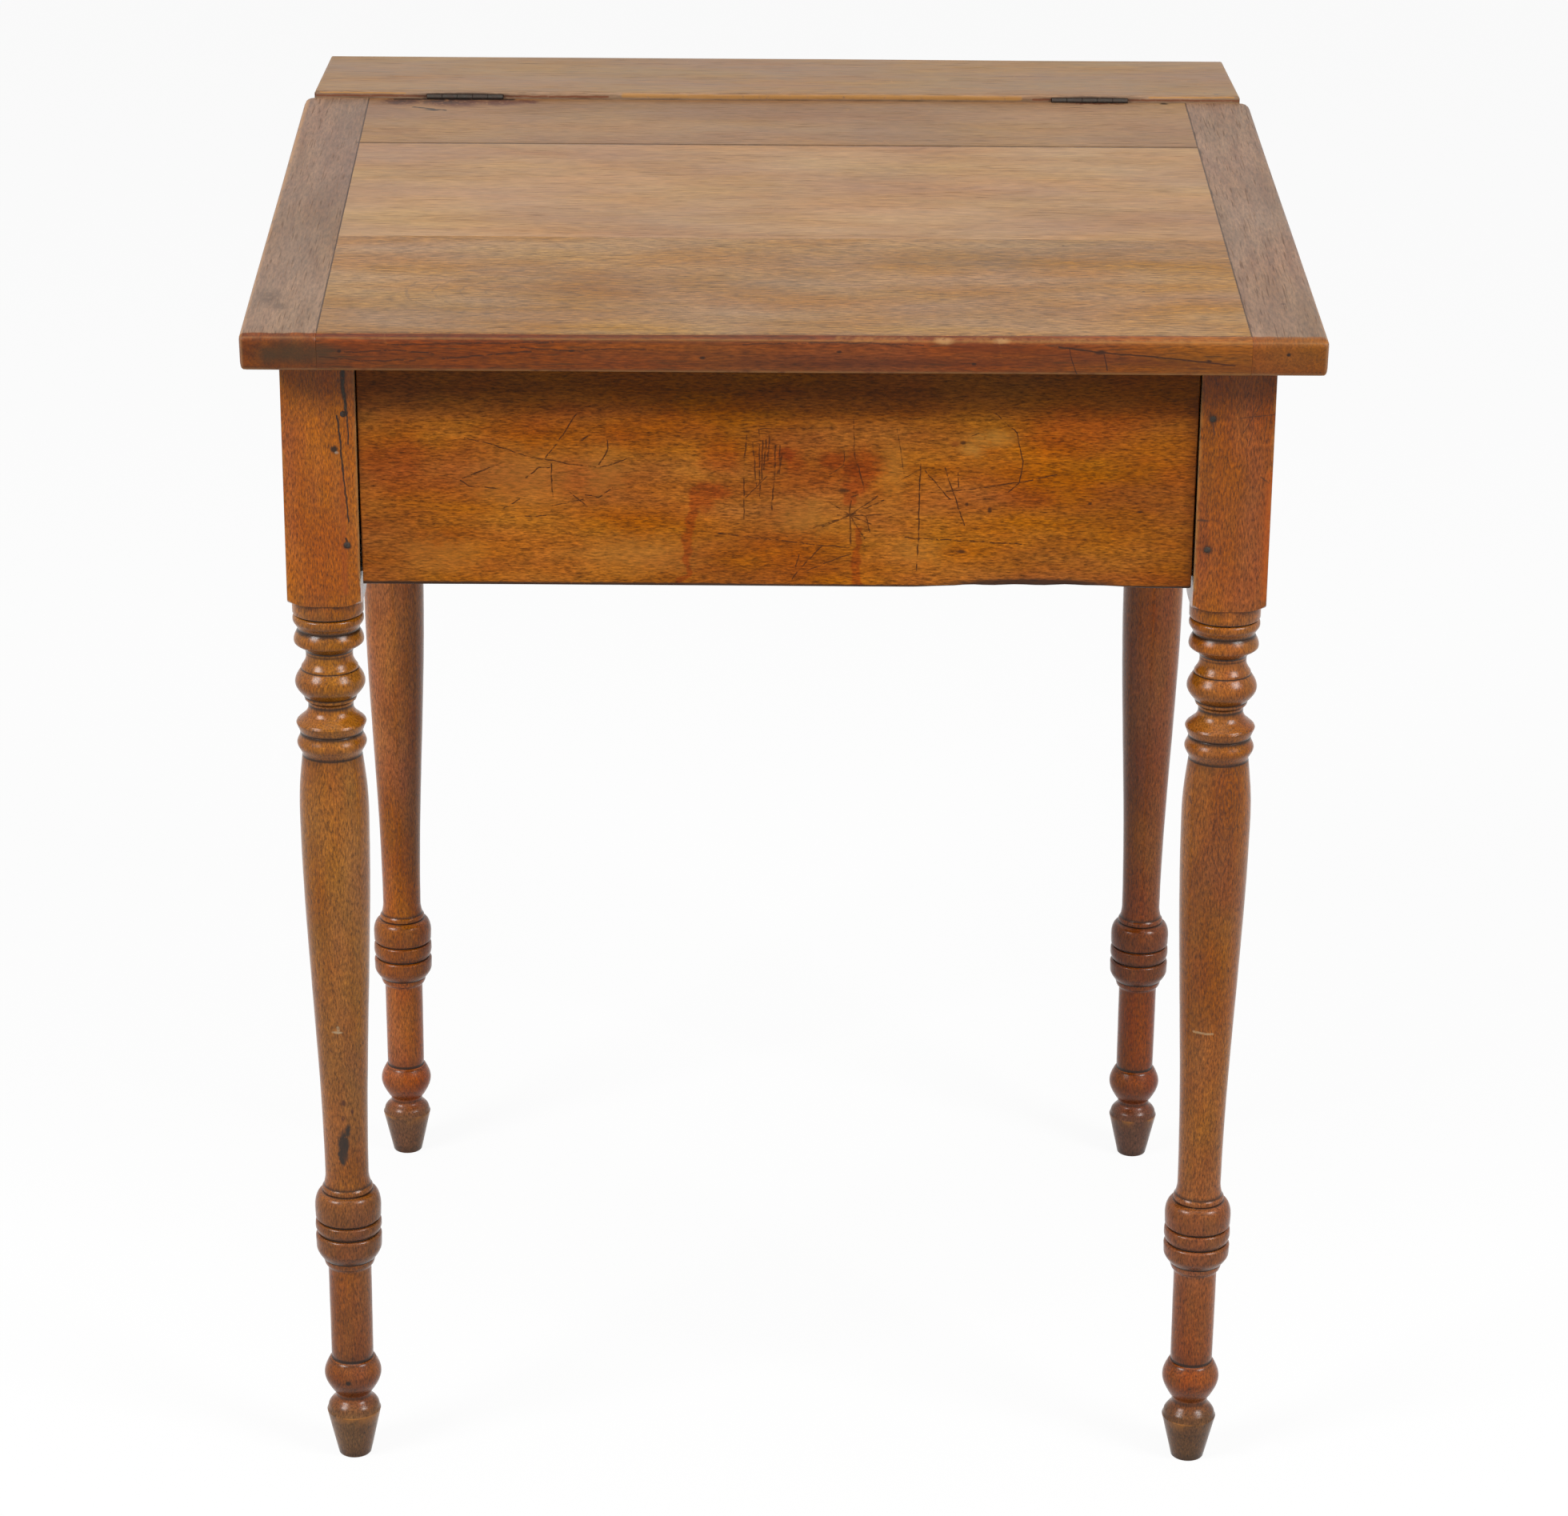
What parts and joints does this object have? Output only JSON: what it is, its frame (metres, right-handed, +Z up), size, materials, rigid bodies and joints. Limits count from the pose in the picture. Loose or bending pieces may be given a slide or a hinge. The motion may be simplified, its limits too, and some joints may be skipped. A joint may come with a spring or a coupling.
{
  "type": "slant top desk",
  "caption": "Free-standing wooden slant top desk: turned legs, deep aprons round a storage well, a level board at the back and a hinged sloping lid with breadboard ends.",
  "frame": {"origin": "on the floor, under the middle of the desk's outline from above", "axes": "+Z up, -Y towards the front edge of the lid, +X to the right as seen from the front"},
  "size_m": [0.723, 0.6272, 0.9368],
  "materials": {
    "leg_wood": "aged red-brown wood under satin varnish",
    "apron_wood": "aged golden brown wood under worn satin varnish",
    "top_wood": "tan wood under rubbed varnish",
    "lid_wood": "tan wood under rubbed varnish",
    "lid_end_wood": "darker brown wood under rubbed varnish",
    "inner_wood": "unfinished, darkened with age",
    "dark_iron": "dark wrought iron, rubbed on the barrels",
    "pin_iron": "grey iron nail heads, oxidised"
  },
  "bodies": {
    "frame": {"leg_front_left": "leg_wood", "leg_front_right": "leg_wood", "leg_back_left": "leg_wood", "leg_back_right": "leg_wood", "apron_front": "apron_wood", "apron_back": "apron_wood", "apron_left": "apron_wood", "apron_right": "apron_wood", "fixed_top": "top_wood", "well_floor_front": "inner_wood", "well_floor_middle": "inner_wood", "well_floor_rear": "inner_wood", "floor_cleat_front": "inner_wood", "floor_cleat_back": "inner_wood", "floor_cleat_left": "inner_wood", "floor_cleat_right": "inner_wood", "glue_block_back_left": "inner_wood", "glue_block_back_right": "inner_wood", "glue_block_left": "inner_wood", "glue_block_right": "inner_wood", "hinge_left_fixed_leaf": "dark_iron", "hinge_left_pin": "dark_iron", "hinge_left_fixed_screw_1": "dark_iron", "hinge_left_fixed_screw_2": "dark_iron", "hinge_left_fixed_screw_3": "dark_iron", "hinge_right_fixed_leaf": "dark_iron", "hinge_right_pin": "dark_iron", "hinge_right_fixed_screw_1": "dark_iron", "hinge_right_fixed_screw_2": "dark_iron", "hinge_right_fixed_screw_3": "dark_iron", "joint_pin_front_left_front_lower": "pin_iron", "joint_pin_front_left_front_upper": "pin_iron", "joint_pin_front_left_side_lower": "pin_iron", "joint_pin_front_left_side_upper": "pin_iron", "joint_pin_front_right_front_lower": "pin_iron", "joint_pin_front_right_front_upper": "pin_iron", "joint_pin_front_right_side_lower": "pin_iron", "joint_pin_front_right_side_upper": "pin_iron", "joint_pin_back_left_back_lower": "pin_iron", "joint_pin_back_left_back_upper": "pin_iron", "joint_pin_back_left_side_lower": "pin_iron", "joint_pin_back_left_side_upper": "pin_iron", "joint_pin_back_right_back_lower": "pin_iron", "joint_pin_back_right_back_upper": "pin_iron", "joint_pin_back_right_side_lower": "pin_iron", "joint_pin_back_right_side_upper": "pin_iron"},
    "lid": {"lid_board_front": "lid_wood", "lid_board_middle": "lid_wood", "lid_board_rear": "lid_wood", "lid_end_left": "lid_end_wood", "lid_end_right": "lid_end_wood", "hinge_left_lid_leaf": "dark_iron", "hinge_left_lid_screw_1": "dark_iron", "hinge_left_lid_screw_2": "dark_iron", "hinge_left_lid_screw_3": "dark_iron", "hinge_right_lid_leaf": "dark_iron", "hinge_right_lid_screw_1": "dark_iron", "hinge_right_lid_screw_2": "dark_iron", "hinge_right_lid_screw_3": "dark_iron"}
  },
  "joints": [
    {"name": "lid_hinge", "type": "hinge", "parent": "frame", "child": "lid", "pos_m": [0, 0.1763, 0.9326], "axis": [-1, 0, 0], "range_deg": [0, 115]}
  ]
}
